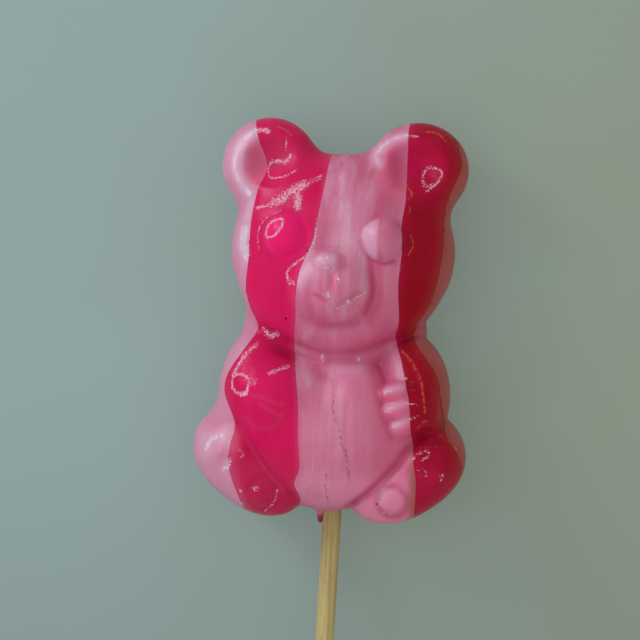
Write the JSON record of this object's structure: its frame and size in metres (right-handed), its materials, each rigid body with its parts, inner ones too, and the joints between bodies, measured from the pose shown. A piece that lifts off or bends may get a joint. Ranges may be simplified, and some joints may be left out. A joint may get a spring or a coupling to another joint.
{
  "type": "bear lollipop",
  "caption": "Seated teddy bear moulded from ribbons of pale and crimson pulled sugar, with round ears, a muzzle, paws on the belly and soft feet, on a plain round wooden stick.",
  "frame": {"origin": "middle of the flat on the bear's back that the lollipop rests on", "axes": "+X to the right of the face as seen, +Y from the stick up to the ears, +Z out of the face; the bear lies on its back"},
  "size_m": [0.0595, 0.188, 0.0296],
  "materials": {
    "pale_sugar": "glossy pale pink pulled sugar with fine satin streaks, slightly cloudy",
    "crimson_sugar": "glossy clear crimson boiled sugar",
    "pale_wood": "bare dowel with fine short grain"
  },
  "bodies": {
    "root": {"ribbon_left_pale": "pale_sugar", "ribbon_left_crimson": "crimson_sugar", "ribbon_centre_pale": "pale_sugar", "ribbon_right_crimson": "crimson_sugar", "ribbon_right_pale": "pale_sugar", "stick": "pale_wood"}
  },
  "joints": []
}
